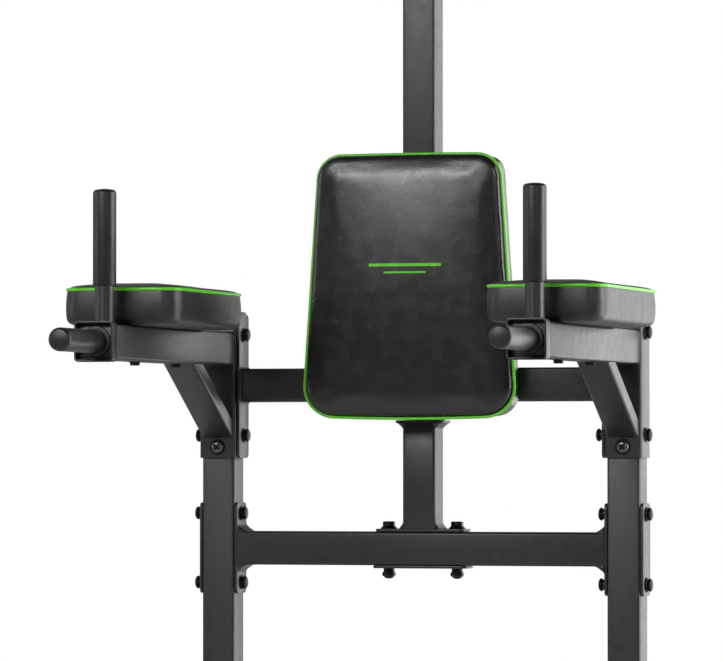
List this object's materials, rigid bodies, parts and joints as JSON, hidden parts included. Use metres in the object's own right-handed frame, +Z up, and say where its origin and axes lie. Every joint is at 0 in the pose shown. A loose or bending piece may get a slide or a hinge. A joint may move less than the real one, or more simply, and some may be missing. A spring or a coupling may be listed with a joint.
{
  "type": "power tower",
  "caption": "Free-standing power tower: steel frame with a back pad, forearm pads and dip handles on two arms, a pull-up bar on a centre mast and push-up handles on the base.",
  "frame": {"origin": "on the floor, under the middle of the machine's box", "axes": "+Z up; the user stands in front, at -Y, with their back to the pad; +X to the right of someone who faces the machine"},
  "size_m": [1.1202, 1.181, 2.1505],
  "materials": {
    "powder_coat": "satin anthracite powder coat",
    "black_zinc": "black zinc with black caps",
    "vinyl": "black upholstery vinyl, fine grain, soft gloss",
    "piping": "green vinyl piping",
    "rubber": "matte moulded rubber",
    "plastic": "fine moulded texture",
    "plywood": "black-stained plywood"
  },
  "bodies": {
    "root": {"arm_bolt_left_lower": "black_zinc", "arm_bolt_left_upper": "black_zinc", "arm_bolt_right_lower": "black_zinc", "arm_bolt_right_upper": "black_zinc", "arm_frame_left": "powder_coat", "arm_frame_right": "powder_coat", "arm_pad_board_left": "plywood", "arm_pad_board_right": "plywood", "arm_pad_bolt_left_front": "black_zinc", "arm_pad_bolt_left_rear": "black_zinc", "arm_pad_bolt_right_front": "black_zinc", "arm_pad_bolt_right_rear": "black_zinc", "arm_pad_left": "vinyl", "arm_pad_right": "vinyl", "arm_plug_left": "plastic", "arm_plug_right": "plastic", "arm_screw_left": "black_zinc", "arm_screw_right": "black_zinc", "back_pad": "vinyl", "back_pad_board": "plywood", "base_brace_left": "powder_coat", "base_brace_right": "powder_coat", "base_rail_left": "powder_coat", "base_rail_right": "powder_coat", "beam_backing_plate_left": "powder_coat", "beam_backing_plate_right": "powder_coat", "beam_bolt_left_lower": "black_zinc", "beam_bolt_left_upper": "black_zinc", "beam_bolt_right_lower": "black_zinc", "beam_bolt_right_upper": "black_zinc", "dip_grip_left": "rubber", "dip_grip_right": "rubber", "dip_handle_left": "powder_coat", "dip_handle_right": "powder_coat", "front_foot_left": "rubber", "front_foot_right": "rubber", "lower_crossbeam": "powder_coat", "lower_mast": "powder_coat", "mast_backing_plate": "powder_coat", "mast_foot_bolt_left": "black_zinc", "mast_foot_bolt_right": "black_zinc", "pad_bracket_lower": "powder_coat", "pad_bracket_upper": "powder_coat", "post_grip_left": "rubber", "post_grip_right": "rubber", "pull_up_bar": "powder_coat", "pull_up_frame": "powder_coat", "pull_up_grip_left": "rubber", "pull_up_grip_right": "rubber", "push_up_grip_left": "rubber", "push_up_grip_right": "rubber", "push_up_handle_left": "powder_coat", "push_up_handle_right": "powder_coat", "rear_foot_left": "rubber", "rear_foot_right": "rubber", "rear_stabiliser": "powder_coat", "upper_crossbar": "powder_coat", "upper_mast": "powder_coat", "upright_left": "powder_coat", "upright_right": "powder_coat"}
  },
  "joints": []
}
